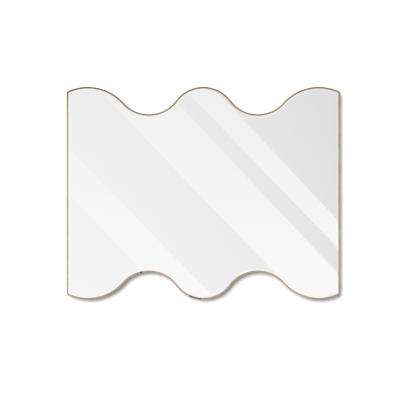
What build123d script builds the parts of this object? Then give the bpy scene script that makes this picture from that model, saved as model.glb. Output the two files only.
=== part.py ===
from build123d import *
from math import asin, atan2, cos, degrees, hypot, radians, sin, sqrt

import os

os.makedirs("parts", exist_ok=True)

# ---------------------------------------------------------------- driving dimensions (mm)
# Outline, seen from the front: straight sides, three crests and two valleys along the top and along the bottom.
WIDTH = 900.0
HEIGHT = 700.0
OUTER_CREST_X = 380.5  # centre of the crests beside the corners
OUTER_CREST_R = 157.0
VALLEY_X = 179.5  # centre of the valleys' arcs
VALLEY_R = 112.5

# Depth, counted forward from the wall.
BUMPER_T = 3.0
FLANGE_T = 1.5
SPRING_GAP = 4.2
BOARD_T = 9.0
FOAM_T = 1.0
FILM_T = 0.2
GLASS_T = 4.0
TAPE_T = 0.6  # between the lip and the flat of the glass
TAPE_IN = 4.7  # the tape's inner edge, just under the lip
BEVEL_W, BEVEL_D = 8.0, 0.4  # the glass's front bevel: width, and depth at its edge
LIP_T = 1.5

# Rail section
WALL_T = 1.5
LIP_W = 5.0
LIP_BEVEL = 0.4
FLANGE_W = 14.0
EDGE_GAP = 1.0  # between the rail's wall and the glass and board

# Corner plates and their screws
PLATE_T = 2.0
PLATE_LEG = 48.0
PLATE_IN, PLATE_OUT = 2.5, 12.5  # how far the plate's two long edges lie from the outline
SCREW_LINE = 7.5
SCREW_AT = (15.0, 36.0)
M4_R = 2.0
M4_HEAD_R, M4_HEAD_H = 3.6, 2.1
M4_LEN = 4.4

# Spring clips
SPRING_L, SPRING_W, SPRING_T = 46.0, 8.0, 0.5

# D-ring hangers
STRAP_W, STRAP_T, STRAP_L = 15.0, 1.2, 41.0
WIRE_R = 1.5
RING_PLAY = 0.05
RING_SIDE = 11.0  # from the middle to the centre of the ring's side wires
RING_BEND = 3.0
RING_REACH = 20.5  # from the hinge axis to the centre of the ring's far arc
STRAP_HOLES = (9.0, 32.0)
STRAP_HOLE_R = 2.1
WOOD_R, WOOD_HEAD_R, WOOD_HEAD_H, WOOD_IN = 1.75, 3.5, 2.2, 7.0
TOP_HANGER_X, TOP_HANGER_Z = 315.0, 215.0
SIDE_HANGER_X, SIDE_HANGER_Z = -398.0, 130.0

# Bumpers
BUMPER_R = 6.0
BUMPER_Z = 262.0

# ---------------------------------------------------------------- derived
FLANGE_BACK = BUMPER_T
FLANGE_FRONT = FLANGE_BACK + FLANGE_T
BOARD_BACK = FLANGE_FRONT + SPRING_GAP
BOARD_FRONT = BOARD_BACK + BOARD_T
FOAM_FRONT = BOARD_FRONT + FOAM_T
GLASS_BACK = FOAM_FRONT + FILM_T
GLASS_FRONT = GLASS_BACK + GLASS_T
LIP_BACK = GLASS_FRONT + TAPE_T
FRONT = LIP_BACK + LIP_T

HX, HZ = WIDTH / 2, HEIGHT / 2
OUTER_CREST_Z = HZ - OUTER_CREST_R
VALLEY_Z = OUTER_CREST_Z + sqrt((OUTER_CREST_R + VALLEY_R) ** 2 - (OUTER_CREST_X - VALLEY_X) ** 2)
_k = VALLEY_Z - HZ
MID_CREST_R = (VALLEY_X**2 + _k**2 - VALLEY_R**2) / (2 * (VALLEY_R - _k))
MID_CREST_Z = HZ - MID_CREST_R


def corner(d):
    """Upper right corner of the outline set in by d."""
    x = HX - d
    return x, OUTER_CREST_Z + sqrt((OUTER_CREST_R - d) ** 2 - (x - OUTER_CREST_X) ** 2)


def edge(x, d):
    """Height of the upper edge, set in by d, over x, and its slope angle in degrees."""
    s = 1 if x >= 0 else -1
    x = abs(x)
    r1, r2, r3 = OUTER_CREST_R - d, VALLEY_R + d, MID_CREST_R - d
    join_out = VALLEY_X + (OUTER_CREST_X - VALLEY_X) * r2 / (r1 + r2)
    join_in = VALLEY_X * r3 / (r2 + r3)
    if x >= join_out:
        z = OUTER_CREST_Z + sqrt(r1**2 - (x - OUTER_CREST_X) ** 2)
        slope = -(x - OUTER_CREST_X) / (z - OUTER_CREST_Z)
    elif x >= join_in:
        z = VALLEY_Z - sqrt(r2**2 - (x - VALLEY_X) ** 2)
        slope = (x - VALLEY_X) / (VALLEY_Z - z)
    else:
        z = MID_CREST_Z + sqrt(r3**2 - x**2)
        slope = -x / (z - MID_CREST_Z)
    return z, degrees(atan2(s * slope, 1))


class Outline(BaseSketchObject):
    """The mirror's closed outline, set in by inset."""

    def __init__(self, inset=0.0, mode=Mode.ADD):
        d = inset
        r1, r2, r3 = OUTER_CREST_R - d, VALLEY_R + d, MID_CREST_R - d
        xo = VALLEY_X + (OUTER_CREST_X - VALLEY_X) * r2 / (r1 + r2)
        xi = VALLEY_X * r3 / (r2 + r3)
        quarter = [
            corner(d),
            (OUTER_CREST_X, OUTER_CREST_Z + r1),
            (xo, edge(xo, d)[0]),
            (VALLEY_X, VALLEY_Z - r2),
            (xi, edge(xi, d)[0]),
            (0, MID_CREST_Z + r3),
        ]
        half = quarter + [(-x, z) for x, z in quarter[-2::-1]]
        with BuildSketch() as face:
            with BuildLine():
                for sign in (1, -1):
                    row = [(sign * x, sign * z) for x, z in half]
                    for i in range(0, 10, 2):
                        ThreePointArc(row[i], row[i + 1], row[i + 2])
                    Line(row[-1], (row[-1][0], -row[-1][1]))
            make_face()
        super().__init__(obj=face.sketch, mode=mode)


# The mitre at each corner runs from outside the outline through the corners of every inset that the rails use.
_c0, _c1 = corner(0), corner(FLANGE_W)
_m = hypot(_c0[0] - _c1[0], _c0[1] - _c1[1])
MX, MZ = (_c0[0] - _c1[0]) / _m, (_c0[1] - _c1[1]) / _m
MITRE = [(_c0[0] + 25 * MX, _c0[1] + 25 * MZ)]
MITRE += [corner(d) for d in (0, WALL_T, LIP_W, FLANGE_W)]
MITRE += [(_c1[0] - 50 * MX, _c1[1] - 50 * MZ)]


class RailShare(BaseSketchObject):
    """The part of the wall plane that belongs to one rail, kept back from the mitres by play."""

    def __init__(self, side, play=0.0, mode=Mode.ADD):
        q = play / MX
        if side in ("top", "bottom"):
            s = 1 if side == "top" else -1
            line = [(x, z + q) for x, z in MITRE]
            pts = line[::-1] + [(line[0][0], 500), (-line[0][0], 500)] + [(-x, z) for x, z in line] + [(0, q)]
            pts = [(x, s * z) for x, z in pts]
        else:
            s = 1 if side == "right" else -1
            line = [(x, z - q) for x, z in MITRE]
            pts = line[::-1] + [(600, line[0][1]), (600, -line[0][1])] + [(x, -z) for x, z in line] + [(0, 0)]
            pts = [(s * x, z) for x, z in pts]
        with BuildSketch() as face:
            with BuildLine():
                Polyline(*pts, close=True)
            make_face()
        super().__init__(obj=face.sketch, mode=mode)


def walk(side, s, d):
    """Point (x, z) at distance s from the upper right corner along the top or the right rail, set in by d, and the rail's direction there in degrees."""
    if side == "side":
        return HX - d, corner(d)[1] - s, 90.0
    x, z = corner(d)
    n = 400
    for _ in range(n):
        a = radians(edge(x, d)[1])
        x -= cos(a) * s / n
        z = edge(x, d)[0]
    return x, z, edge(x, d)[1]


# Corner screws: two through each rail's flange at each corner, as (x, z) in the upper right quarter
QUARTER_TOP = [walk("top", s, SCREW_LINE)[:2] for s in SCREW_AT]
QUARTER_SIDE = [walk("side", s, SCREW_LINE)[:2] for s in SCREW_AT]


def mirrored(points, signs):
    return [(sx * x, sz * z) for sx, sz in signs for x, z in points]


FOUR = [(1, 1), (-1, 1), (1, -1), (-1, -1)]


# ---------------------------------------------------------------- frame rails
# Each rail is one section, mitred at both ends: rear flange, wall and front lip with its two long edges bevelled.
with BuildPart() as frame_rail_top:
    with BuildSketch(Plane.XZ.offset(FLANGE_BACK)):
        Outline(0)
        Outline(FLANGE_W, mode=Mode.SUBTRACT)
        RailShare("top", mode=Mode.INTERSECT)
        with Locations(*mirrored(QUARTER_TOP, [(1, 1), (-1, 1)])):
            Circle(M4_R + 0.2, mode=Mode.SUBTRACT)
    extrude(amount=FLANGE_T)
    with BuildSketch(Plane.XZ.offset(FLANGE_FRONT)):
        Outline(0)
        Outline(WALL_T, mode=Mode.SUBTRACT)
        RailShare("top", mode=Mode.INTERSECT)
    extrude(amount=LIP_BACK - FLANGE_FRONT)
    with BuildSketch(Plane.XZ.offset(LIP_BACK)):
        Outline(0)
        Outline(LIP_W, mode=Mode.SUBTRACT)
        RailShare("top", mode=Mode.INTERSECT)
    extrude(amount=LIP_T)
    chamfer(frame_rail_top.faces().sort_by(Axis.Y)[0].edges().filter_by(GeomType.CIRCLE), LIP_BEVEL)
frame_rail_top.part.label = "frame_rail_top"
export_step(frame_rail_top.part, "parts/frame_rail_top.step")

with BuildPart() as frame_rail_bottom:
    with BuildSketch(Plane.XZ.offset(FLANGE_BACK)):
        Outline(0)
        Outline(FLANGE_W, mode=Mode.SUBTRACT)
        RailShare("bottom", mode=Mode.INTERSECT)
        with Locations(*mirrored(QUARTER_TOP, [(1, -1), (-1, -1)])):
            Circle(M4_R + 0.2, mode=Mode.SUBTRACT)
    extrude(amount=FLANGE_T)
    with BuildSketch(Plane.XZ.offset(FLANGE_FRONT)):
        Outline(0)
        Outline(WALL_T, mode=Mode.SUBTRACT)
        RailShare("bottom", mode=Mode.INTERSECT)
    extrude(amount=LIP_BACK - FLANGE_FRONT)
    with BuildSketch(Plane.XZ.offset(LIP_BACK)):
        Outline(0)
        Outline(LIP_W, mode=Mode.SUBTRACT)
        RailShare("bottom", mode=Mode.INTERSECT)
    extrude(amount=LIP_T)
    chamfer(frame_rail_bottom.faces().sort_by(Axis.Y)[0].edges().filter_by(GeomType.CIRCLE), LIP_BEVEL)
frame_rail_bottom.part.label = "frame_rail_bottom"
export_step(frame_rail_bottom.part, "parts/frame_rail_bottom.step")

with BuildPart() as frame_rail_left:
    with BuildSketch(Plane.XZ.offset(FLANGE_BACK)):
        Outline(0)
        Outline(FLANGE_W, mode=Mode.SUBTRACT)
        RailShare("left", mode=Mode.INTERSECT)
        with Locations(*mirrored(QUARTER_SIDE, [(-1, 1), (-1, -1)])):
            Circle(M4_R + 0.2, mode=Mode.SUBTRACT)
    extrude(amount=FLANGE_T)
    with BuildSketch(Plane.XZ.offset(FLANGE_FRONT)):
        Outline(0)
        Outline(WALL_T, mode=Mode.SUBTRACT)
        RailShare("left", mode=Mode.INTERSECT)
    extrude(amount=LIP_BACK - FLANGE_FRONT)
    with BuildSketch(Plane.XZ.offset(LIP_BACK)):
        Outline(0)
        Outline(LIP_W, mode=Mode.SUBTRACT)
        RailShare("left", mode=Mode.INTERSECT)
    extrude(amount=LIP_T)
    chamfer(frame_rail_left.faces().sort_by(Axis.Y)[0].edges().filter_by(Axis.Z), LIP_BEVEL)
frame_rail_left.part.label = "frame_rail_left"
export_step(frame_rail_left.part, "parts/frame_rail_left.step")

with BuildPart() as frame_rail_right:
    with BuildSketch(Plane.XZ.offset(FLANGE_BACK)):
        Outline(0)
        Outline(FLANGE_W, mode=Mode.SUBTRACT)
        RailShare("right", mode=Mode.INTERSECT)
        with Locations(*mirrored(QUARTER_SIDE, [(1, 1), (1, -1)])):
            Circle(M4_R + 0.2, mode=Mode.SUBTRACT)
    extrude(amount=FLANGE_T)
    with BuildSketch(Plane.XZ.offset(FLANGE_FRONT)):
        Outline(0)
        Outline(WALL_T, mode=Mode.SUBTRACT)
        RailShare("right", mode=Mode.INTERSECT)
    extrude(amount=LIP_BACK - FLANGE_FRONT)
    with BuildSketch(Plane.XZ.offset(LIP_BACK)):
        Outline(0)
        Outline(LIP_W, mode=Mode.SUBTRACT)
        RailShare("right", mode=Mode.INTERSECT)
    extrude(amount=LIP_T)
    chamfer(frame_rail_right.faces().sort_by(Axis.Y)[0].edges().filter_by(Axis.Z), LIP_BEVEL)
frame_rail_right.part.label = "frame_rail_right"
export_step(frame_rail_right.part, "parts/frame_rail_right.step")

# ---------------------------------------------------------------- corner plates
# Each is a flat angle plate that follows both rails between the flange and the board.
with BuildPart() as corner_plate_top_left:
    with BuildSketch(Plane.XZ.offset(FLANGE_FRONT)):
        Outline(PLATE_IN)
        Outline(PLATE_OUT, mode=Mode.SUBTRACT)
        with Locations(*mirrored([corner(PLATE_IN)], [(-1, 1)])):
            Circle(PLATE_LEG, mode=Mode.INTERSECT)
        with Locations(*mirrored(QUARTER_TOP + QUARTER_SIDE, [(-1, 1)])):
            Circle(M4_R, mode=Mode.SUBTRACT)
    extrude(amount=PLATE_T)
corner_plate_top_left.part.label = "corner_plate_top_left"
export_step(corner_plate_top_left.part, "parts/corner_plate_top_left.step")

with BuildPart() as corner_plate_top_right:
    with BuildSketch(Plane.XZ.offset(FLANGE_FRONT)):
        Outline(PLATE_IN)
        Outline(PLATE_OUT, mode=Mode.SUBTRACT)
        with Locations(*mirrored([corner(PLATE_IN)], [(1, 1)])):
            Circle(PLATE_LEG, mode=Mode.INTERSECT)
        with Locations(*mirrored(QUARTER_TOP + QUARTER_SIDE, [(1, 1)])):
            Circle(M4_R, mode=Mode.SUBTRACT)
    extrude(amount=PLATE_T)
corner_plate_top_right.part.label = "corner_plate_top_right"
export_step(corner_plate_top_right.part, "parts/corner_plate_top_right.step")

with BuildPart() as corner_plate_bottom_left:
    with BuildSketch(Plane.XZ.offset(FLANGE_FRONT)):
        Outline(PLATE_IN)
        Outline(PLATE_OUT, mode=Mode.SUBTRACT)
        with Locations(*mirrored([corner(PLATE_IN)], [(-1, -1)])):
            Circle(PLATE_LEG, mode=Mode.INTERSECT)
        with Locations(*mirrored(QUARTER_TOP + QUARTER_SIDE, [(-1, -1)])):
            Circle(M4_R, mode=Mode.SUBTRACT)
    extrude(amount=PLATE_T)
corner_plate_bottom_left.part.label = "corner_plate_bottom_left"
export_step(corner_plate_bottom_left.part, "parts/corner_plate_bottom_left.step")

with BuildPart() as corner_plate_bottom_right:
    with BuildSketch(Plane.XZ.offset(FLANGE_FRONT)):
        Outline(PLATE_IN)
        Outline(PLATE_OUT, mode=Mode.SUBTRACT)
        with Locations(*mirrored([corner(PLATE_IN)], [(1, -1)])):
            Circle(PLATE_LEG, mode=Mode.INTERSECT)
        with Locations(*mirrored(QUARTER_TOP + QUARTER_SIDE, [(1, -1)])):
            Circle(M4_R, mode=Mode.SUBTRACT)
    extrude(amount=PLATE_T)
corner_plate_bottom_right.part.label = "corner_plate_bottom_right"
export_step(corner_plate_bottom_right.part, "parts/corner_plate_bottom_right.step")

with BuildPart() as corner_screws:
    with BuildSketch(Plane.XZ.offset(FLANGE_BACK - M4_HEAD_H)):
        with Locations(*mirrored(QUARTER_TOP + QUARTER_SIDE, FOUR)):
            Circle(M4_HEAD_R)
    extrude(amount=M4_HEAD_H)
    fillet(corner_screws.faces().sort_by(Axis.Y)[-16:].edges(), 1.1)
    with BuildSketch(Plane.XZ.offset(FLANGE_BACK - 0.3)):
        with Locations(*mirrored(QUARTER_TOP + QUARTER_SIDE, FOUR)):
            Circle(M4_R)
    extrude(amount=M4_LEN + 0.3)
    with BuildSketch(Plane.XZ.offset(FLANGE_BACK - M4_HEAD_H - 0.5)):
        with Locations(*mirrored(QUARTER_TOP + QUARTER_SIDE, FOUR)):
            Rectangle(3.4, 0.8, rotation=45)
            Rectangle(3.4, 0.8, rotation=-45)
    extrude(amount=1.7, mode=Mode.SUBTRACT)
corner_screws.part.label = "corner_screws"
export_step(corner_screws.part, "parts/corner_screws.step")

# ---------------------------------------------------------------- glass, film, tape, spacers, foam
with BuildPart() as mirror_glass:
    with BuildSketch(Plane.XZ.offset(GLASS_BACK)):
        Outline(WALL_T + EDGE_GAP)
    extrude(amount=GLASS_T)
    front_face = mirror_glass.faces().sort_by(Axis.Y)[0]
    chamfer(front_face.edges(), BEVEL_W, BEVEL_D, reference=front_face)
mirror_glass.part.label = "mirror_glass"
export_step(mirror_glass.part, "parts/mirror_glass.step")

with BuildPart() as safety_film:
    with BuildSketch(Plane.XZ.offset(FOAM_FRONT)):
        Outline(7.0)
    extrude(amount=FILM_T)
safety_film.part.label = "safety_film"
export_step(safety_film.part, "parts/safety_film.step")

with BuildPart() as glazing_tape:
    with BuildSketch(Plane.XZ.offset(LIP_BACK)):
        for side in ("top", "right", "bottom", "left"):
            RailShare(side, 0.6)
        Outline(3.0, mode=Mode.INTERSECT)
        Outline(TAPE_IN, mode=Mode.SUBTRACT)
    extrude(amount=-(TAPE_T + BEVEL_D * (WALL_T + EDGE_GAP + BEVEL_W - TAPE_IN) / BEVEL_W))
glazing_tape.part.label = "glazing_tape"
export_step(glazing_tape.part, "parts/glazing_tape.step")

SPACERS = [(0, -HZ), (-OUTER_CREST_X, -HZ), (OUTER_CREST_X, -HZ), (0, HZ), (-OUTER_CREST_X, HZ), (OUTER_CREST_X, HZ)]
SIDE_SPACERS = [(-HX, -200), (-HX, 200), (HX, -200), (HX, 200)]
with BuildPart() as edge_spacers:
    with BuildSketch(Plane.XZ.offset(BOARD_BACK)):
        with Locations(*SPACERS):
            Rectangle(30, 20)
        with Locations(*SIDE_SPACERS):
            Rectangle(20, 30)
        Outline(WALL_T, mode=Mode.INTERSECT)
        Outline(WALL_T + EDGE_GAP, mode=Mode.SUBTRACT)
    extrude(amount=GLASS_FRONT - 0.5 - BOARD_BACK)
edge_spacers.part.label = "edge_spacers"
export_step(edge_spacers.part, "parts/edge_spacers.step")

with BuildPart() as foam_strips:
    with BuildSketch(Plane.XZ.offset(BOARD_FRONT)):
        with GridLocations(160, 1, 5, 1):
            Rectangle(25, 420)
    extrude(amount=FOAM_T)
foam_strips.part.label = "foam_strips"
export_step(foam_strips.part, "parts/foam_strips.step")

# ---------------------------------------------------------------- hangers
# A hanger lies on the board's back. It points the way its ring reaches in use: up for the top pair, to the
# left side for the side pair. At rest the ring is folded back over its strap.
AXIS_H = STRAP_T + WIRE_R + RING_PLAY + 0.05  # height of the hinge axis over the board
KNUCKLE_OUT = WIRE_R + RING_PLAY + STRAP_T
# At rest the ring's arc lies on the strap's two long edges.
ARC_AT_EDGE = RING_REACH - RING_SIDE + sqrt(RING_SIDE**2 - (STRAP_W / 2) ** 2)
REST_TILT = degrees(asin((2 * STRAP_T + WIRE_R + 0.08 - AXIS_H) / ARC_AT_EDGE))

HANGERS = {
    "top_left": (-TOP_HANGER_X, TOP_HANGER_Z, 90.0),
    "top_right": (TOP_HANGER_X, TOP_HANGER_Z, 90.0),
    "side_upper": (SIDE_HANGER_X, SIDE_HANGER_Z, 180.0),
    "side_lower": (SIDE_HANGER_X, -SIDE_HANGER_Z, 180.0),
}


def hanger_plane(name):
    """Plane on the board's back at the hanger's hinge line: x along the pointing direction, y along the hinge, z to the wall."""
    x, z, ang = HANGERS[name]
    a = radians(ang)
    return Plane(origin=(x, -BOARD_BACK, z), x_dir=(cos(a), 0, sin(a)), z_dir=(0, 1, 0))


def strap_points(name, distances):
    x, z, ang = HANGERS[name]
    a = radians(ang)
    return [(x - s * cos(a), z - s * sin(a)) for s in distances]


class Strap(BasePartObject):
    """A folded strap: two layers screwed flat along -X, and the knuckle round the ring's bar on the Y axis."""

    def __init__(self, mode=Mode.ADD):
        with BuildPart() as strap:
            with BuildSketch(Plane.XZ):
                with Locations((-STRAP_L / 2, STRAP_T / 2)):
                    Rectangle(STRAP_L, STRAP_T)
                with Locations((-STRAP_L / 2 - 0.9, 1.5 * STRAP_T)):
                    Rectangle(STRAP_L - 1.8, STRAP_T)
                with Locations((0, AXIS_H)):
                    Circle(KNUCKLE_OUT)
                    Circle(WIRE_R + RING_PLAY, mode=Mode.SUBTRACT)
            extrude(amount=STRAP_W / 2, both=True)
            with BuildSketch(Plane.XY.offset(-1)):
                with Locations((-STRAP_L / 2 + STRAP_W / 4 + 2, 0)):
                    Rectangle(STRAP_L - STRAP_W / 2 + 4, STRAP_W)
                with Locations((-STRAP_L + STRAP_W / 2, 0)):
                    Circle(STRAP_W / 2)
            extrude(amount=12, mode=Mode.INTERSECT)
            with BuildSketch(Plane.XY.offset(-1)):
                with Locations(*[(-s, 0) for s in STRAP_HOLES]):
                    Circle(STRAP_HOLE_R)
            extrude(amount=12, mode=Mode.SUBTRACT)
        super().__init__(part=strap.part, mode=mode)


class Ring(BasePartObject):
    """A D-ring of round wire: its bar on the hinge axis, its loop folded back over the strap in the resting tilt."""

    def __init__(self, mode=Mode.ADD):
        t = radians(REST_TILT)
        loop = Plane(origin=(0, 0, AXIS_H), x_dir=(-cos(t), 0, sin(t)), z_dir=(sin(t), 0, cos(t)))
        bar = RING_SIDE - RING_BEND
        far = RING_REACH - RING_SIDE
        mid = RING_BEND * (1 - cos(radians(45)))
        with BuildPart() as ring:
            with BuildLine(loop) as path:
                Line((0, 0), (0, bar))
                ThreePointArc((0, bar), (mid, RING_SIDE - mid), (RING_BEND, RING_SIDE))
                Line((RING_BEND, RING_SIDE), (far, RING_SIDE))
                ThreePointArc((far, RING_SIDE), (far + RING_SIDE, 0), (far, -RING_SIDE))
                Line((far, -RING_SIDE), (RING_BEND, -RING_SIDE))
                ThreePointArc((RING_BEND, -RING_SIDE), (mid, mid - RING_SIDE), (0, -bar))
                Line((0, -bar), (0, 0))
            with BuildSketch(Plane(origin=(0, 0, AXIS_H), x_dir=(1, 0, 0), z_dir=(0, 1, 0))):
                Circle(WIRE_R)
            sweep(path=path.wires()[0])
        super().__init__(part=ring.part, mode=mode)


with BuildPart(hanger_plane("top_left")) as hanger_strap_top_left:
    Strap()
hanger_strap_top_left.part.label = "hanger_strap_top_left"
export_step(hanger_strap_top_left.part, "parts/hanger_strap_top_left.step")

with BuildPart(hanger_plane("top_right")) as hanger_strap_top_right:
    Strap()
hanger_strap_top_right.part.label = "hanger_strap_top_right"
export_step(hanger_strap_top_right.part, "parts/hanger_strap_top_right.step")

with BuildPart(hanger_plane("side_upper")) as hanger_strap_side_upper:
    Strap()
hanger_strap_side_upper.part.label = "hanger_strap_side_upper"
export_step(hanger_strap_side_upper.part, "parts/hanger_strap_side_upper.step")

with BuildPart(hanger_plane("side_lower")) as hanger_strap_side_lower:
    Strap()
hanger_strap_side_lower.part.label = "hanger_strap_side_lower"
export_step(hanger_strap_side_lower.part, "parts/hanger_strap_side_lower.step")

with BuildPart(hanger_plane("top_left")) as hanger_ring_top_left:
    Ring()
hanger_ring_top_left.part.label = "hanger_ring_top_left"
export_step(hanger_ring_top_left.part, "parts/hanger_ring_top_left.step")

with BuildPart(hanger_plane("top_right")) as hanger_ring_top_right:
    Ring()
hanger_ring_top_right.part.label = "hanger_ring_top_right"
export_step(hanger_ring_top_right.part, "parts/hanger_ring_top_right.step")

with BuildPart(hanger_plane("side_upper")) as hanger_ring_side_upper:
    Ring()
hanger_ring_side_upper.part.label = "hanger_ring_side_upper"
export_step(hanger_ring_side_upper.part, "parts/hanger_ring_side_upper.step")

with BuildPart(hanger_plane("side_lower")) as hanger_ring_side_lower:
    Ring()
hanger_ring_side_lower.part.label = "hanger_ring_side_lower"
export_step(hanger_ring_side_lower.part, "parts/hanger_ring_side_lower.step")

WOOD_SCREWS = [p for name in HANGERS for p in strap_points(name, STRAP_HOLES)]
STRAP_TOP = BOARD_BACK - 2 * STRAP_T  # distance of the strap's upper face from the wall
with BuildPart() as hanger_screws:
    with BuildSketch(Plane.XZ.offset(STRAP_TOP - WOOD_HEAD_H)):
        with Locations(*WOOD_SCREWS):
            Circle(WOOD_HEAD_R)
    extrude(amount=WOOD_HEAD_H)
    fillet(hanger_screws.faces().sort_by(Axis.Y)[-8:].edges(), 1.2)
    with BuildSketch(Plane.XZ.offset(STRAP_TOP - 0.3)):
        with Locations(*WOOD_SCREWS):
            Circle(WOOD_R)
    extrude(amount=2 * STRAP_T + WOOD_IN + 0.3)
    with BuildSketch(Plane.XZ.offset(STRAP_TOP - WOOD_HEAD_H - 0.5)):
        with Locations(*WOOD_SCREWS):
            Rectangle(3.4, 0.8, rotation=20)
            Rectangle(3.4, 0.8, rotation=110)
    extrude(amount=1.8, mode=Mode.SUBTRACT)
hanger_screws.part.label = "hanger_screws"
export_step(hanger_screws.part, "parts/hanger_screws.step")

# ---------------------------------------------------------------- backing board
with BuildPart() as backing_board:
    with BuildSketch(Plane.XZ.offset(BOARD_BACK)):
        Outline(WALL_T + EDGE_GAP)
    extrude(amount=BOARD_T)
    chamfer(backing_board.faces().sort_by(Axis.Y)[-1].edges(), 0.6)
    with BuildSketch(Plane.XZ.offset(BOARD_BACK)):
        with Locations(*WOOD_SCREWS):
            Circle(WOOD_R)
    extrude(amount=WOOD_IN + 0.5, mode=Mode.SUBTRACT)
backing_board.part.label = "backing_board"
export_step(backing_board.part, "parts/backing_board.step")

# ---------------------------------------------------------------- spring clips
# Each bow spring lies along its rail between the board and the flange: its ends on the board, its crown on the flange.
SPRING_LINE = 7.6
SPRINGS = [(x, edge(x, SPRING_LINE)[0], edge(x, SPRING_LINE)[1]) for x in (-310.0, -VALLEY_X, VALLEY_X, 310.0)]
SPRINGS += [(x, -z, -a) for x, z, a in SPRINGS]
SPRINGS += [(s * (HX - SPRING_LINE), z, 90.0) for s in (1, -1) for z in (-110.0, 110.0)]
with BuildPart() as spring_clips:
    for x, z, ang in SPRINGS:
        a = radians(ang)
        along = Vector(cos(a), 0, sin(a))
        across = Vector(0, 1, 0).cross(along)
        spring_plane = Plane(origin=(x, -BOARD_BACK, z), x_dir=along, z_dir=across * -1)
        rise = SPRING_GAP - 0.04
        with BuildSketch(spring_plane):
            with BuildLine():
                o = ThreePointArc((-SPRING_L / 2, SPRING_T + 0.04), (0, rise), (SPRING_L / 2, SPRING_T + 0.04))
                e = Line(o @ 1, (SPRING_L / 2, 0.04))
                i = ThreePointArc(e @ 1, (0, rise - SPRING_T), (-SPRING_L / 2, 0.04))
                Line(i @ 1, o @ 0)
            make_face()
        extrude(amount=SPRING_W / 2, both=True)
spring_clips.part.label = "spring_clips"
export_step(spring_clips.part, "parts/spring_clips.step")

# ---------------------------------------------------------------- wall bumpers
with BuildPart() as wall_bumpers:
    with BuildSketch(Plane.XZ):
        with Locations(*[(sx * (HX - FLANGE_W / 2), sz * BUMPER_Z) for sx, sz in FOUR]):
            Circle(BUMPER_R)
    extrude(amount=BUMPER_T)
    fillet(wall_bumpers.faces().sort_by(Axis.Y)[-4:].edges(), 0.8)
wall_bumpers.part.label = "wall_bumpers"
export_step(wall_bumpers.part, "parts/wall_bumpers.step")

print("corner", corner(0), "mid crest", MID_CREST_R, MID_CREST_Z, "valley", VALLEY_Z, "rest tilt", REST_TILT)
print("front", FRONT, "board back", BOARD_BACK, "glass", GLASS_BACK, GLASS_FRONT)
for name, (x, z, ang) in HANGERS.items():
    print(name, "hinge at", (x, -BOARD_BACK + AXIS_H, z), "pointing", ang)
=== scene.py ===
import math

import bmesh
import bpy
from mathutils import Matrix, Vector


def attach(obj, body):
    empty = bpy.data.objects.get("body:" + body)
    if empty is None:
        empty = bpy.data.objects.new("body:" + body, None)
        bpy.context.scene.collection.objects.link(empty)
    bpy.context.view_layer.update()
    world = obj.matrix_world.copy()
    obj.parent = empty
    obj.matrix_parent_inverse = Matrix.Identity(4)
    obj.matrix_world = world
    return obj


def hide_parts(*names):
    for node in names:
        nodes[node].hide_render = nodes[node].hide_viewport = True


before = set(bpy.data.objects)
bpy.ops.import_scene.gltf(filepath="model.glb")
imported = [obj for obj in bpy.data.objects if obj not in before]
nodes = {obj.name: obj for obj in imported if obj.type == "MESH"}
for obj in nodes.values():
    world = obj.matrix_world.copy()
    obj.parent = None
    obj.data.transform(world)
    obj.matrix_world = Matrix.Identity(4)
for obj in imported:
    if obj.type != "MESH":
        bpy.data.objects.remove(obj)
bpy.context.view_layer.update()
scene = bpy.context.scene

# ---------------------------------------------------------------- shape of the mirror, in metres (same numbers as the CAD)
MM = 0.001
HX, HZ = 0.450, 0.350
OCX, OCR = 0.3805, 0.1570
VX, VR = 0.1795, 0.1125
OCZ = HZ - OCR
VZ = OCZ + math.sqrt((OCR + VR) ** 2 - (OCX - VX) ** 2)
_k = VZ - HZ
MCR = (VX**2 + _k**2 - VR**2) / (2 * (VR - _k))
MCZ = HZ - MCR
WALL_T, LIP_W, LIP_T, FLANGE_W, FLANGE_T = 1.5 * MM, 5.0 * MM, 1.5 * MM, 14.0 * MM, 1.5 * MM
Y_BACK, Y_FRONT = -3.0 * MM, -25.0 * MM

# ---------------------------------------------------------------- camera
PX = 0.900 / 273.45          # metres per pixel of the 416-pixel frame, in the plane of the frame's front
CAM_X, CAM_Z = 0.01536, -0.0487
LENS, SENSOR = 120.0, 36.0
CAM_D = 416 * PX * LENS / SENSOR
cam_data = bpy.data.cameras.new("camera")
cam_data.lens, cam_data.sensor_width = LENS, SENSOR
cam_data.clip_start, cam_data.clip_end = 0.05, 80.0
camera = bpy.data.objects.new("camera", cam_data)
camera.location = (CAM_X, Y_FRONT - CAM_D, CAM_Z)
camera.rotation_euler = (math.radians(90), 0, 0)
scene.collection.objects.link(camera)
scene.camera = camera


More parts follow.
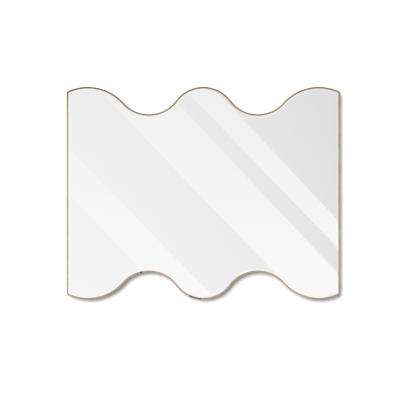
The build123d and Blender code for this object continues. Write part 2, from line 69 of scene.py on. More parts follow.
# ---------------------------------------------------------------- small node-tree helper
class Tree:
    def __init__(self, owner):
        owner.use_nodes = True
        self.t = owner.node_tree
        self.t.nodes.clear()

    def node(self, kind, **values):
        n = self.t.nodes.new(kind)
        for k, v in values.items():
            setattr(n, k, v)
        return n

    def put(self, socket, value):
        if isinstance(value, bpy.types.NodeSocket):
            self.t.links.new(value, socket)
        elif value is not None:
            socket.default_value = value

    def math(self, op, a, b=None, c=None, clamp=False):
        n = self.node("ShaderNodeMath", operation=op, use_clamp=clamp)
        for i, v in enumerate((a, b, c)):
            if v is not None:
                self.put(n.inputs[i], v)
        return n.outputs[0]

    def add(self, a, b): return self.math("ADD", a, b)
    def sub(self, a, b): return self.math("SUBTRACT", a, b)
    def mul(self, a, b): return self.math("MULTIPLY", a, b)
    def div(self, a, b): return self.math("DIVIDE", a, b)

    def ramp01(self, x, lo, hi, smooth=True):
        n = self.node("ShaderNodeMapRange", interpolation_type="SMOOTHSTEP" if smooth else "LINEAR")
        self.put(n.inputs["Value"], x)
        self.put(n.inputs["From Min"], lo)
        self.put(n.inputs["From Max"], hi)
        return n.outputs[0]

    def span(self, x, lo, hi, to_lo, to_hi):
        n = self.node("ShaderNodeMapRange", clamp=True)
        for name, v in (("Value", x), ("From Min", lo), ("From Max", hi), ("To Min", to_lo), ("To Max", to_hi)):
            self.put(n.inputs[name], v)
        return n.outputs[0]

    def mix(self, f, a, b):
        n = self.node("ShaderNodeMix", data_type="FLOAT")
        self.put(n.inputs[0], f)
        self.put(n.inputs[2], a)
        self.put(n.inputs[3], b)
        return n.outputs[0]

    def mixc(self, f, a, b, blend="MIX"):
        n = self.node("ShaderNodeMix", data_type="RGBA", blend_type=blend)
        self.put(n.inputs[0], f)
        self.put(n.inputs[6], rgba(a))
        self.put(n.inputs[7], rgba(b))
        return n.outputs[2]

    def xyz(self, v):
        n = self.node("ShaderNodeSeparateXYZ")
        self.put(n.inputs[0], v)
        return n.outputs[0], n.outputs[1], n.outputs[2]

    def join(self, x, y, z):
        n = self.node("ShaderNodeCombineXYZ")
        for i, v in enumerate((x, y, z)):
            self.put(n.inputs[i], v)
        return n.outputs[0]

    def scaled(self, v, s):
        n = self.node("ShaderNodeVectorMath", operation="MULTIPLY")
        self.put(n.inputs[0], v)
        n.inputs[1].default_value = s if isinstance(s, tuple) else (s, s, s)
        return n.outputs[0]

    def noise(self, v, scale, detail=3.0, rough=0.5, dist=0.0, out=0):
        n = self.node("ShaderNodeTexNoise")
        self.put(n.inputs["Vector"], v)
        n.inputs["Scale"].default_value = scale
        n.inputs["Detail"].default_value = detail
        n.inputs["Roughness"].default_value = rough
        n.inputs["Distortion"].default_value = dist
        return n.outputs[out]

    def voronoi(self, v, scale, feature="F1", out="Distance", randomness=1.0):
        n = self.node("ShaderNodeTexVoronoi", feature=feature)
        self.put(n.inputs["Vector"], v)
        n.inputs["Scale"].default_value = scale
        n.inputs["Randomness"].default_value = randomness
        return n.outputs[out]

    def bump(self, height, distance, strength=1.0, normal=None):
        n = self.node("ShaderNodeBump")
        n.inputs["Strength"].default_value = strength
        n.inputs["Distance"].default_value = distance
        self.put(n.inputs["Height"], height)
        if normal is not None:
            self.put(n.inputs["Normal"], normal)
        return n.outputs[0]


def rgba(c):
    return c if isinstance(c, bpy.types.NodeSocket) or len(c) == 4 else (*c, 1.0)


def srgb(r, g, b):
    return tuple(((v / 255 + 0.055) / 1.055) ** 2.4 if v > 10 else v / 255 / 12.92 for v in (r, g, b))


def material(name):
    m = bpy.data.materials.new(name)
    t = Tree(m)
    out = t.node("ShaderNodeOutputMaterial")
    p = t.node("ShaderNodeBsdfPrincipled")
    t.t.links.new(p.outputs[0], out.inputs[0])
    m.diffuse_color = (0.6, 0.6, 0.6, 1)
    return m, t, p


# ---------------------------------------------------------------- light: a white studio whose soft diagonal bands the mirror reflects
# u, v are the place on the mirror where the main camera would see a far direction reflected.
BAND_LINES = [((-0.443, -0.003), (-0.206, -0.250)), ((-0.443, 0.146), (0.031, -0.338)), ((-0.275, 0.267), (0.232, -0.259)),
              ((-0.088, 0.300), (0.442, -0.263)), ((-0.042, 0.323), (0.442, -0.180)), ((0.057, 0.320), (0.442, -0.088))]
REFLECTANCE = 0.95
world = bpy.data.worlds.new("studio")
scene.world = world
w = Tree(world)
direction = w.node("ShaderNodeTexCoord").outputs["Generated"]
dx, dy, dz = w.xyz(direction)
ahead = w.math("MAXIMUM", w.mul(dy, -1.0), 0.02)
mirror_d = CAM_D + 0.0023
u = w.add(w.mul(w.div(dx, ahead), mirror_d), CAM_X)
v = w.add(w.mul(w.div(dz, ahead), mirror_d), CAM_Z)
uc = w.math("MAXIMUM", w.math("MINIMUM", u, 0.452), -0.452)
vc = w.math("MAXIMUM", w.math("MINIMUM", v, 0.352), -0.352)
# the right-hand bevel looks 0.456 m further along u, and carries the bands on from the flat glass beside it
in_bevel = w.mul(w.math("GREATER_THAN", u, 0.855), w.math("LESS_THAN", u, 0.935))
um = w.sub(u, w.mul(in_bevel, 0.456))
mask = None
for i, ((x1, z1), (x2, z2)) in enumerate(BAND_LINES):
    n = math.hypot(x2 - x1, z2 - z1)
    a, b = -(z2 - z1) / n, (x2 - x1) / n
    c = -(a * x1 + b * z1)
    d = w.add(w.add(w.mul(um, a), w.mul(v, b)), c)
    s = w.ramp01(d, -0.0022, 0.0022)
    mask = s if mask is None else (w.sub(mask, s) if i % 2 else w.add(mask, s))
xn, zn = w.div(uc, 0.45), w.div(vc, 0.35)
dark = w.sub(w.sub(w.sub(0.8364, w.mul(xn, 0.0644)), w.mul(zn, 0.0338)), w.mul(w.mul(xn, xn), 0.016))
light = w.sub(w.sub(0.906, w.mul(xn, 0.0042)), w.mul(zn, 0.038))
near = w.div(w.mix(mask, dark, light), REFLECTANCE)
# far bands, for other views
s_far = w.add(w.mul(u, 0.70), w.mul(v, 0.71))
band_far = w.ramp01(w.math("SINE", w.add(w.mul(s_far, 11.0), w.mul(w.math("SINE", w.mul(s_far, 4.3)), 1.6))), -0.10, 0.10)
far = w.mix(band_far, 0.84, 0.97)
r_near = w.math("MAXIMUM", w.math("ABSOLUTE", w.div(u, 0.47)), w.math("ABSOLUTE", w.div(v, 0.37)))
level = w.add(near, w.mul(w.ramp01(r_near, 1.45, 1.65), 0.055))
level = w.mix(w.ramp01(r_near, 3.2, 4.6), level, far)
front = w.ramp01(w.mul(dy, -1.0), 0.0, 0.12)
level = w.mix(front, 1.0, level)
# a darker ceiling in front of the mirror, which the brass picks up along its upper edges
ceiling = w.mul(w.ramp01(dz, 0.215, 0.34), w.ramp01(w.mul(dy, -1.0), 0.02, 0.25))
level = w.mul(level, w.mix(ceiling, 1.0, 0.20))
level = w.mix(w.node("ShaderNodeLightPath").outputs["Is Camera Ray"], level, 0.94)
bg = w.node("ShaderNodeBackground")
w.put(bg.inputs["Strength"], level)
bg.inputs["Color"].default_value = (1.0, 1.0, 1.0, 1)
w.t.links.new(bg.outputs[0], w.node("ShaderNodeOutputWorld").inputs[0])


def sun(name, travel, strength, angle_deg, color=(1, 1, 1)):
    data = bpy.data.lights.new(name, "SUN")
    data.energy, data.angle, data.color = strength, math.radians(angle_deg), color
    o = bpy.data.objects.new(name, data)
    o.rotation_euler = Vector(travel).normalized().to_track_quat("-Z", "Y").to_euler()
    scene.collection.objects.link(o)
    return o


key = sun("key_light", (0.385, 1.0, -0.43), 7.3, 42, (0.975, 0.985, 1.0))
key.visible_glossy = False
rear = sun("rear_light", (0.55, -1.0, -0.75), 1.4, 12, (1.0, 0.99, 0.97))
rear.visible_glossy = False


# ---------------------------------------------------------------- outline arcs, inset by n
def quarter(n):
    """Arcs of the upper right quarter, inset by n, from the corner to the middle: centre, radius, start and end angle, outward sign."""
    corner_a = math.acos((HX - n - OCX) / (OCR - n))
    return [
        (OCX, OCZ, OCR - n, corner_a, math.atan2(VZ - OCZ, VX - OCX), 1),
        (VX, VZ, VR + n, math.atan2(OCZ - VZ, OCX - VX), math.atan2(MCZ - VZ, -VX) , -1),
        (0.0, MCZ, MCR - n, math.atan2(VZ - MCZ, VX), math.pi / 2, 1),
    ]


def corner(n):
    c = quarter(n)[0]
    return HX - n, c[1] + c[2] * math.sin(c[3])


STEPS = (44, 40, 22)


def top_point(n, arc, t, pull=0.0):
    """Point of the upper edge inset by n and its outward direction; t runs from 0 to 1 along the arc, and pull cuts the corner's end back."""
    cx, cz, r, a0, a1, s = quarter(n)[arc]
    if arc == 0:
        a0 += pull / r
    a = a0 + (a1 - a0) * t
    d = (math.cos(a), math.sin(a))
    return (cx + r * d[0], cz + r * d[1]), (s * d[0], s * d[1])


def outline(n, flip_z=1):
    """Closed outline inset by n, as a list of (x, z)."""
    half = []
    for arc, count in enumerate(STEPS):
        half += [top_point(n, arc, i / count)[0] for i in range(count)]
    half.append(top_point(n, 2, 1.0)[0])
    row = half + [(-x, z) for x, z in half[-2::-1]]
    return row + [(-x, -z) for x, z in row]


# ---------------------------------------------------------------- stage: white wall with an opening behind the mirror, pale floor
def stage_object(name, bm, mat):
    me = bpy.data.meshes.new(name)
    bm.to_mesh(me)
    bm.free()
    me.materials.append(mat)
    o = bpy.data.objects.new(name, me)
    scene.collection.objects.link(o)
    return o


def matt_stage(name, color, one_sided=False):
    m = bpy.data.materials.new(name)
    t = Tree(m)
    out = t.node("ShaderNodeOutputMaterial")
    d = t.node("ShaderNodeBsdfDiffuse")
    d.inputs["Color"].default_value = (*color, 1)
    if one_sided:
        mixer = t.node("ShaderNodeMixShader")
        t.t.links.new(t.node("ShaderNodeNewGeometry").outputs["Backfacing"], mixer.inputs[0])
        t.t.links.new(d.outputs[0], mixer.inputs[1])
        t.t.links.new(t.node("ShaderNodeBsdfTransparent").outputs[0], mixer.inputs[2])
        t.t.links.new(mixer.outputs[0], out.inputs[0])
    else:
        t.t.links.new(d.outputs[0], out.inputs[0])
    return m


FLOOR_Z = -0.9
WALL_HALF = 9.0
WALL_Y = 0.0002
WALL_MAT = matt_stage("stage_wall", (0.462, 0.470, 0.481), True)


def wall_part(name, rings):
    bm = bmesh.new()
    loops = []
    for pts in rings:
        vs = [bm.verts.new((x, WALL_Y, z)) for x, z in pts]
        loops += [bm.edges.new((vs[i], vs[(i + 1) % len(vs)])) for i in range(len(vs))]
    bmesh.ops.triangle_fill(bm, use_beauty=True, use_dissolve=False, edges=loops)
    bmesh.ops.recalc_face_normals(bm, faces=bm.faces)
    for f in bm.faces:
        if f.normal.y > 0:
            f.normal_flip()
    o = stage_object(name, bm, WALL_MAT)
    o.visible_shadow = False
    o.visible_diffuse = False
    return o


wall_part("stage_wall", [[(-WALL_HALF, FLOOR_Z), (WALL_HALF, FLOOR_Z), (WALL_HALF, 2.6), (-WALL_HALF, 2.6)], outline(0.0)])
rim = wall_part("stage_wall_rim", [outline(0.0), outline(0.006)])      # the strip behind the frame
rim.visible_glossy = False

bm = bmesh.new()
vs = [bm.verts.new(p) for p in ((-20, -20, FLOOR_Z), (20, -20, FLOOR_Z), (20, 20, FLOOR_Z), (-20, 20, FLOOR_Z))]
bm.faces.new(vs)
floor = stage_object("stage_floor", bm, matt_stage("stage_floor", (0.46, 0.46, 0.455)))
floor.visible_glossy = False


# ---------------------------------------------------------------- materials
# dark tarnish on the lower rail: place along X, half width, strength
TARNISH = [(-0.2045, 0.0050, 1.0), (-0.1650, 0.0032, 0.55), (-0.0405, 0.0060, 1.0), (-0.0270, 0.0165, 0.62), (-0.0105, 0.0045, 0.75)]


def brass():
    m, t, p = material("satin_brass")
    uv = t.node("ShaderNodeUVMap", uv_map="rail").outputs[0]   # metres along the rail, metres round the section
    obj = t.node("ShaderNodeTexCoord").outputs["Object"]
    fine = t.noise(t.scaled(uv, (22.0, 5200.0, 0.0)), 1.0, 2.0, 0.6)
    broad = t.noise(t.scaled(uv, (9.0, 900.0, 0.0)), 1.0, 2.0, 0.5)
    cloud = t.noise(obj, 26.0, 4.0, 0.6)
    spots = t.noise(obj, 210.0, 3.0, 0.7)
    fleck = t.noise(obj, 520.0, 3.0, 0.6)
    base = t.mixc(t.ramp01(cloud, 0.30, 0.72), srgb(186, 156, 119), srgb(204, 177, 143))
    base = t.mixc(t.mul(t.ramp01(broad, 0.40, 0.80), 0.30), base, srgb(218, 195, 162))
    base = t.mixc(t.mul(t.ramp01(spots, 0.62, 0.80), 0.35), base, srgb(146, 108, 60))
    x, y, z = t.xyz(obj)
    painted_top_tint = t.mul(t.mul(t.ramp01(z, 0.225, 0.265), 0.62), t.sub(1.0, t.ramp01(y, -0.018, -0.010)))
    base = t.mixc(painted_top_tint, base, srgb(196, 154, 92))                # painted reflection: the upper rail's gold is a little warmer and darker than the rest
    painted_top_shade = t.mul(t.mul(t.ramp01(z, 0.262, 0.345), t.span(x, -0.42, 0.0, 0.85, 0.40)), t.sub(1.0, t.ramp01(y, -0.018, -0.010)))
    base = t.mixc(painted_top_shade, base, srgb(148, 113, 50))                # painted shade: the upper crests are a darker, deeper gold, most towards the left, standing in for the dark ceiling the brass reflects
    edge = t.math("MULTIPLY", t.sub(fleck, 0.5), 0.006)
    stain = None
    for x0, half, strength in TARNISH:
        d = t.math("ABSOLUTE", t.sub(t.add(x, edge), x0))
        k = t.mul(t.sub(1.0, t.ramp01(d, half * 0.45, half)), strength)
        stain = k if stain is None else t.math("MAXIMUM", stain, k)
    stain = t.mul(t.mul(stain, t.math("LESS_THAN", z, -0.2)), t.sub(1.0, t.ramp01(t.add(y, t.mul(edge, 0.6)), -0.0225, -0.0190)))
    stain = t.mul(stain, t.span(fleck, 0.30, 0.52, 0.45, 1.0))
    base = t.mixc(stain, base, t.mixc(t.ramp01(spots, 0.4, 0.6), srgb(58, 26, 5), srgb(92, 62, 20)))
    t.put(p.inputs["Base Color"], base)
    p.inputs["Metallic"].default_value = 1.0
    rough = t.add(t.span(broad, 0.25, 0.75, 0.25, 0.36), t.span(cloud, 0.3, 0.7, -0.02, 0.05))
    t.put(p.inputs["Roughness"], t.math("MINIMUM", t.add(rough, t.mul(stain, 0.25)), 1.0))
    p.inputs["Coat Weight"].default_value = 0.25
    p.inputs["Coat Roughness"].default_value = 0.14
    height = t.add(t.mul(fine, 0.7), t.mul(broad, 0.5))
    t.put(p.inputs["Normal"], t.bump(height, 0.00003, 0.7))
    return m


def mirror_material():
    m, t, p = material("silvered_glass")
    obj = t.node("ShaderNodeTexCoord").outputs["Object"]
    smudge = t.noise(obj, 9.0, 5.0, 0.62)
    dust = t.noise(obj, 420.0, 2.0, 0.5)
    wave = t.noise(obj, 3.2, 1.0, 0.4)
    t.put(p.inputs["Base Color"], t.mixc(t.ramp01(smudge, 0.35, 0.75), (0.952, 0.952, 0.952), (0.948, 0.949, 0.950)))
    p.inputs["Metallic"].default_value = 1.0
    t.put(p.inputs["Roughness"], t.add(t.span(smudge, 0.45, 0.80, 0.004, 0.022), t.span(dust, 0.66, 0.80, 0.0, 0.03)))
    t.put(p.inputs["Normal"], t.bump(wave, 0.00002, 0.6))
    return m


def zinc(name="zinc_plate", tone=(0.50, 0.505, 0.512), lo=0.22, hi=0.38):
    m, t, p = material(name)
    obj = t.node("ShaderNodeTexCoord").outputs["Object"]
    cloud = t.noise(obj, 70.0, 4.0, 0.6, 0.3)
    grain = t.noise(obj, 900.0, 2.0, 0.6)
    scratch = t.noise(t.scaled(obj, (260.0, 260.0, 2600.0)), 1.0, 2.0, 0.5)
    base = t.mixc(t.ramp01(cloud, 0.30, 0.70), tone, tuple(c * s for c, s in zip(tone, (0.86, 0.90, 1.0))))
    base = t.mixc(t.mul(t.ramp01(cloud, 0.55, 0.75), 0.35), base, tuple(c * s for c, s in zip(tone, (1.08, 1.03, 0.86))))
    base = t.mixc(t.mul(t.ramp01(grain, 0.55, 0.75), 0.35), base, tuple(c * 0.62 for c in tone))
    t.put(p.inputs["Base Color"], base)
    p.inputs["Metallic"].default_value = 1.0
    t.put(p.inputs["Roughness"], t.add(t.span(cloud, 0.3, 0.7, lo, hi), t.span(scratch, 0.3, 0.7, -0.04, 0.06)))
    t.put(p.inputs["Normal"], t.bump(t.add(t.mul(grain, 0.6), t.mul(scratch, 0.5)), 0.00004, 0.6))
    return m


def spring_steel():
    m, t, p = material("blued_spring_steel")
    obj = t.node("ShaderNodeTexCoord").outputs["Object"]
    heat = t.noise(obj, 38.0, 3.0, 0.55)
    grain = t.noise(obj, 1100.0, 2.0, 0.6)
    base = t.mixc(t.ramp01(heat, 0.30, 0.55), (0.075, 0.095, 0.15), (0.12, 0.125, 0.155))
    base = t.mixc(t.mul(t.ramp01(heat, 0.58, 0.74), 0.6), base, (0.20, 0.145, 0.095))
    base = t.mixc(t.mul(t.ramp01(grain, 0.5, 0.8), 0.4), base, (0.28, 0.29, 0.31))
    t.put(p.inputs["Base Color"], base)
    p.inputs["Metallic"].default_value = 1.0
    t.put(p.inputs["Roughness"], t.span(grain, 0.3, 0.7, 0.27, 0.42))
    t.put(p.inputs["Normal"], t.bump(grain, 0.00003, 0.5))
    return m


def fibreboard():
    m, t, p = material("raw_fibreboard")
    obj = t.node("ShaderNodeTexCoord").outputs["Object"]
    cloud = t.noise(obj, 5.0, 6.0, 0.62)
    patch = t.noise(obj, 34.0, 4.0, 0.6)
    fibre_a = t.noise(t.scaled(obj, (1500.0, 1500.0, 420.0)), 1.0, 3.0, 0.65, 0.6)
    fibre_b = t.noise(t.scaled(obj, (400.0, 1400.0, 1500.0)), 1.0, 3.0, 0.65, 0.6)
    sand = t.noise(t.scaled(obj, (6.0, 1200.0, 1500.0)), 1.0, 2.0, 0.5)
    chips = t.voronoi(t.scaled(obj, (620.0, 620.0, 300.0)), 1.0)
    base = t.mixc(t.ramp01(cloud, 0.30, 0.70), srgb(124, 93, 66), srgb(137, 105, 76))
    base = t.mixc(t.mul(t.ramp01(patch, 0.35, 0.75), 0.35), base, srgb(150, 119, 88))
    base = t.mixc(t.mul(t.ramp01(fibre_a, 0.52, 0.78), 0.40), base, srgb(90, 64, 42))
    base = t.mixc(t.mul(t.ramp01(fibre_b, 0.54, 0.80), 0.36), base, srgb(178, 148, 114))
    base = t.mixc(t.mul(t.ramp01(chips, 0.30, 0.10), 0.22), base, srgb(110, 80, 50))
    base = t.mixc(t.mul(t.ramp01(sand, 0.45, 0.75), 0.14), base, srgb(160, 130, 98))
    t.put(p.inputs["Base Color"], base)
    p.inputs["Specular IOR Level"].default_value = 0.28
    t.put(p.inputs["Roughness"], t.span(fibre_a, 0.3, 0.8, 0.68, 0.86))
    height = t.add(t.mul(fibre_a, 0.6), t.add(t.mul(fibre_b, 0.5), t.mul(sand, 0.25)))
    t.put(p.inputs["Normal"], t.bump(height, 0.00016, 0.6))
    return m


def rubber():
    m, t, p = material("black_rubber")
    obj = t.node("ShaderNodeTexCoord").outputs["Object"]
    grain = t.noise(obj, 1500.0, 3.0, 0.6)
    dust = t.noise(obj, 160.0, 4.0, 0.6)
    base = t.mixc(t.ramp01(grain, 0.35, 0.75), (0.016, 0.016, 0.017), (0.030, 0.030, 0.031))
    base = t.mixc(t.mul(t.ramp01(dust, 0.55, 0.80), 0.30), base, (0.13, 0.12, 0.11))
    t.put(p.inputs["Base Color"], base)
    p.inputs["Specular IOR Level"].default_value = 0.42
    t.put(p.inputs["Roughness"], t.span(dust, 0.3, 0.8, 0.52, 0.80))
    t.put(p.inputs["Normal"], t.bump(grain, 0.00008, 0.6))
    return m


def soft_strip():
    m, t, p = material("soft_black_strip")
    obj = t.node("ShaderNodeTexCoord").outputs["Object"]
    cells = t.voronoi(obj, 2600.0)
    tone = t.noise(obj, 90.0, 3.0, 0.6)
    base = t.mixc(t.ramp01(tone, 0.3, 0.7), (0.020, 0.020, 0.021), (0.036, 0.036, 0.037))
    base = t.mixc(t.mul(t.ramp01(cells, 0.55, 0.20), 0.45), base, (0.008, 0.008, 0.008))
    t.put(p.inputs["Base Color"], base)
    p.inputs["Specular IOR Level"].default_value = 0.30
    t.put(p.inputs["Roughness"], t.span(cells, 0.1, 0.6, 0.72, 0.92))
    t.put(p.inputs["Normal"], t.bump(cells, 0.0001, 0.7))
    return m


def foam_tape():
    m, t, p = material("white_foam_tape")
    obj = t.node("ShaderNodeTexCoord").outputs["Object"]
    cells = t.voronoi(obj, 1500.0)
    tone = t.noise(obj, 60.0, 3.0, 0.6)
    base = t.mixc(t.ramp01(tone, 0.3, 0.7), srgb(228, 227, 220), srgb(240, 239, 234))
    base = t.mixc(t.mul(t.ramp01(cells, 0.50, 0.15), 0.35), base, srgb(196, 195, 188))
    t.put(p.inputs["Base Color"], base)
    p.inputs["Specular IOR Level"].default_value = 0.25
    t.put(p.inputs["Roughness"], t.span(cells, 0.1, 0.6, 0.70, 0.88))
    t.put(p.inputs["Normal"], t.bump(cells, 0.00015, 0.7))
    return m


def backing_film():
    m, t, p = material("grey_backing_film")
    obj = t.node("ShaderNodeTexCoord").outputs["Object"]
    weave_x = t.math("SINE", t.mul(t.xyz(obj)[0], 4200.0))
    weave_z = t.math("SINE", t.mul(t.xyz(obj)[2], 4200.0))
    weave = t.mul(weave_x, weave_z)
    wrinkle = t.noise(obj, 14.0, 4.0, 0.5, 0.6)
    base = t.mixc(t.ramp01(weave, -0.6, 0.8), srgb(142, 146, 150), srgb(158, 162, 166))
    base = t.mixc(t.mul(t.ramp01(wrinkle, 0.4, 0.7), 0.3), base, srgb(172, 175, 178))
    t.put(p.inputs["Base Color"], base)
    p.inputs["Specular IOR Level"].default_value = 0.45
    t.put(p.inputs["Roughness"], t.span(wrinkle, 0.3, 0.7, 0.42, 0.60))
    t.put(p.inputs["Normal"], t.bump(t.add(t.mul(weave, 0.15), wrinkle), 0.0002, 0.5))
    return m


MAT = {
    "brass": brass(),
    "mirror": mirror_material(),
    "zinc": zinc(),
    "wire": zinc("zinc_wire", (0.55, 0.553, 0.558), 0.16, 0.28),
    "spring": spring_steel(),
    "board": fibreboard(),
    "rubber": rubber(),
    "strip": soft_strip(),
    "foam": foam_tape(),
    "film": backing_film(),
}


def paint(node, mat):
    o = nodes[node]
    for s in o.material_slots:
        s.material = MAT[mat]


# ---------------------------------------------------------------- brass rails, with rounded edges, a slight crown on the lip and hairline mitres
def arc_points(cn, cy, r, a0, a1, count):
    return [(cn + r * math.cos(math.radians(a0 + (a1 - a0) * i / count)), cy + r * math.sin(math.radians(a0 + (a1 - a0) * i / count)))
            for i in range(count + 1)]


TILT_OUT, TILT_IN = 20.0, 7.0    # degrees: the lip falls away towards its outer edge, and a little towards the glass


def rail_profile():
    """Closed section as (n, y, normal n, normal y): n is the inset from the outline, y the depth. It runs from the rear outer edge forward."""
    r_out, r_in, r_back, r_small = 0.75 * MM, 0.60 * MM, 0.25 * MM, 0.35 * MM
    yf, yb = Y_FRONT, Y_BACK
    t_out, t_in = math.radians(TILT_OUT), math.radians(TILT_IN)
    pts = []

    def rounded(cn, cy, r, a0, a1, count):
        for i in range(count + 1):
            a = math.radians(a0 + (a1 - a0) * i / count)
            pts.append((cn + r * math.cos(a), cy + r * math.sin(a), math.cos(a), math.sin(a)))

    n0, n1, steps = r_out * (1 - math.sin(t_out)), LIP_W - r_in * (1 - math.sin(t_in)), 14
    face = [(n0, 0.0, -t_out)]                                               # the lip's face, one gentle curve
    for i in range(1, steps + 1):
        a0, a1 = (-t_out + (t_out + t_in) * (i - k) / steps for k in (1, 0))
        n, y, _ = face[-1]
        step = (n1 - n0) / steps
        face.append((n + step, y + step * math.tan((a0 + a1) / 2), a1))
    lift = yf - min(y for _, y, _ in face)
    face = [(n, y + lift, a) for n, y, a in face]
    rounded(r_small, yb - r_small, r_small, 90, 180, 4)                      # rear outer edge
    rounded(r_out, face[0][1] + r_out * math.cos(t_out), r_out, 180, 270 - TILT_OUT, 8)      # front outer edge
    for n, y, a in face[1:-1]:
        pts.append((n, y, math.sin(a), -math.cos(a)))
    rounded(LIP_W - r_in, face[-1][1] + r_in * math.cos(t_in), r_in, 270 + TILT_IN, 360, 7)  # inner front edge
    rounded(LIP_W - r_back, yf + LIP_T - r_back, r_back, 0, 90, 3)           # inner rear edge of the lip
    pts.append((WALL_T, yf + LIP_T, 0.707, 0.707))
    pts.append((WALL_T, yb - FLANGE_T, 0.707, -0.707))
    rounded(FLANGE_W - r_small, yb - FLANGE_T + r_small, r_small, 270, 360, 4)
    rounded(FLANGE_W - r_small, yb - r_small, r_small, 0, 90, 4)
    return pts


PROFILE = rail_profile()


def inner_profile(shrink):
    """The section drawn in by shrink along its own normals, for the fine groove at each mitre."""
    return [(n - shrink * nn, y - shrink * ny, nn, ny) for n, y, nn, ny in PROFILE]


def rail_rings(side):
    """Rings of (x, y, z), outward normal and length along the rail, from one mitre to the other."""
    small = inner_profile(0.11 * MM)
    rings = []

    def ring_at(fn, profile, s):
        row = []
        for n, y, nn, ny in profile:
            (x, z), (ox, oz) = fn(n)
            row.append(((x, y, z), (-nn * ox, ny, -nn * oz)))
        rings.append((row, s))

    if side in ("top", "bottom"):
        zs = 1 if side == "top" else -1
        stations = []
        for arc, count in enumerate(STEPS):
            stations += [(arc, i / count) for i in range(count)]
        stations.append((2, 1.0))
        full = [(a, t, 1) for a, t in stations] + [(a, t, -1) for a, t in stations[-2::-1]]
        lengths, last = [], None
        for a, t, xs in full:
            p = top_point(0, a, t)[0]
            p = (xs * p[0], p[1])
            lengths.append(0.0 if last is None else lengths[-1] + math.hypot(p[0] - last[0], p[1] - last[1]))
            last = p

        def at(a, t, xs, pull):
            def fn(n):
                (x, z), (ox, oz) = top_point(n, a, t, pull)
                return (xs * x, zs * z), (xs * ox, zs * oz)
            return fn

        for k, (a, t, xs) in enumerate(full):
            end = k == 0 or k == len(full) - 1
            if k == 0:
                ring_at(at(a, t, xs, 0.02 * MM), small, -0.0001)
            ring_at(at(a, t, xs, 0.14 * MM), PROFILE, lengths[k])
            if k == len(full) - 1:
                ring_at(at(a, t, xs, 0.02 * MM), small, lengths[k] + 0.0001)
    else:
        xs = 1 if side == "right" else -1
        count = 96

        def at(t, pull):
            def fn(n):
                x, z = corner(n)
                z -= pull
                return (xs * x, z * (1 - 2 * t)), (xs, 0.0)
            return fn

        ring_at(at(0, 0.02 * MM), small, -0.0001)
        for k in range(count + 1):
            ring_at(at(k / count, 0.14 * MM), PROFILE, k / count * 2 * corner(0)[1])
        ring_at(at(1, 0.02 * MM), small, 2 * corner(0)[1] + 0.0001)
    return rings


def make_rail(side):
    rings = rail_rings(side)
    count = len(PROFILE)
    section = [0.0]
    for j in range(count):
        a, b = PROFILE[j], PROFILE[(j + 1) % count]
        section.append(section[-1] + math.hypot(b[0] - a[0], b[1] - a[1]))
    verts, normals = [], []
    for row, _ in rings:
        for p, nrm in row:
            verts.append(p)
            normals.append(Vector(nrm).normalized())
    faces, uvs = [], []
    for i in range(len(rings) - 1):
        for j in range(count):
            j2 = (j + 1) % count
            faces.append((i * count + j, i * count + j2, (i + 1) * count + j2, (i + 1) * count + j))
            uvs.append([(rings[i][1], section[j]), (rings[i][1], section[j + 1]), (rings[i + 1][1], section[j + 1]), (rings[i + 1][1], section[j])])
    for i, flip in ((0, True), (len(rings) - 1, False)):
        face = [i * count + j for j in range(count)]
        faces.append(tuple(face[::-1] if flip else face))
        uvs.append([(PROFILE[k % count][0] + rings[i][1], PROFILE[k % count][1]) for k in faces[-1]])
    me = bpy.data.meshes.new(f"brass_rail_{side}")
    me.from_pydata(verts, [], faces)
    layer = me.uv_layers.new(name="rail")
    k = 0
    for quad in uvs:
        for c in quad:
            layer.data[k].uv = c
            k += 1
    bm = bmesh.new()
    bm.from_mesh(me)
    bmesh.ops.recalc_face_normals(bm, faces=bm.faces)
    bm.to_mesh(me)
    bm.free()
    me.shade_smooth()
    for poly in me.polygons[-2:]:
        poly.use_smooth = False
    me.normals_split_custom_set_from_vertices([tuple(n) for n in normals])
    me.materials.append(MAT["brass"])
    o = bpy.data.objects.new(f"brass_rail_{side}", me)
    scene.collection.objects.link(o)
    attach(o, "mirror")
    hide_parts(f"frame_rail_{side}")
    return o


for side in ("top", "bottom", "left", "right"):
    make_rail(side)

# ---------------------------------------------------------------- finishes of the CAD nodes, and eased edges where the hand or the light meets them

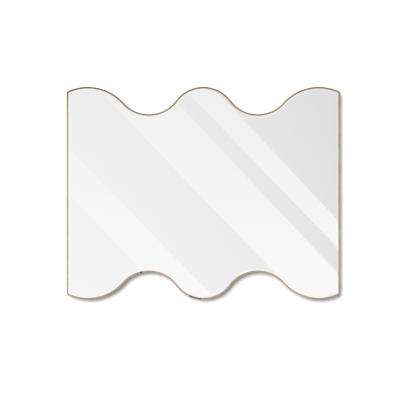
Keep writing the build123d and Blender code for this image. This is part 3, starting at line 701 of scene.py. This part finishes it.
def eased(node, name, mat, body, width, segments=2, angle=30):
    """A copy of a CAD node's mesh with its convex edges rounded, which stands for the node."""
    bm = bmesh.new()
    bm.from_mesh(nodes[node].data)
    bmesh.ops.remove_doubles(bm, verts=bm.verts, dist=2e-6)
    bmesh.ops.dissolve_limit(bm, angle_limit=math.radians(0.4), verts=bm.verts, edges=bm.edges)
    bmesh.ops.recalc_face_normals(bm, faces=bm.faces)
    sharp = [e for e in bm.edges if e.is_manifold and e.calc_face_angle_signed(0.0) > math.radians(angle)]
    bmesh.ops.bevel(bm, geom=sharp, offset=width, offset_type="OFFSET", segments=segments, profile=0.5, affect="EDGES", clamp_overlap=True)
    bmesh.ops.remove_doubles(bm, verts=bm.verts, dist=1e-7)
    me = bpy.data.meshes.new(name)
    bm.to_mesh(me)
    bm.free()
    me.shade_smooth()
    me.set_sharp_from_angle(angle=math.radians(38))
    me.materials.append(MAT[mat])
    o = bpy.data.objects.new(name, me)
    scene.collection.objects.link(o)
    flat = o.modifiers.new("flat faces stay flat", "WEIGHTED_NORMAL")
    flat.keep_sharp, flat.weight = True, 100
    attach(o, body)
    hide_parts(node)
    return o


for place in ("top_left", "top_right", "side_upper", "side_lower"):
    eased(f"hanger_strap_{place}", f"d_ring_strap_{place}", "zinc", "mirror", 0.16 * MM)
    paint(f"hanger_ring_{place}", "wire")
for place in ("top_left", "top_right", "bottom_left", "bottom_right"):
    eased(f"corner_plate_{place}", f"mitre_plate_{place}", "zinc", "mirror", 0.20 * MM)
eased("corner_screws", "mitre_screws", "zinc", "mirror", 0.10 * MM)
eased("hanger_screws", "strap_screws", "zinc", "mirror", 0.08 * MM)
eased("wall_bumpers", "rubber_bumpers", "rubber", "mirror", 0.70 * MM, 4)
eased("spring_clips", "leaf_clips", "spring", "mirror", 0.12 * MM)
eased("backing_board", "rear_board", "board", "mirror", 0.40 * MM, 2)
paint("mirror_glass", "mirror")
paint("safety_film", "film")
paint("glazing_tape", "strip")
paint("edge_spacers", "strip")
paint("foam_strips", "foam")

# ---------------------------------------------------------------- look of the picture
scene.view_settings.view_transform = "Standard"
scene.view_settings.look = "None"
scene.view_settings.exposure = 0.0
scene.view_settings.gamma = 1.0
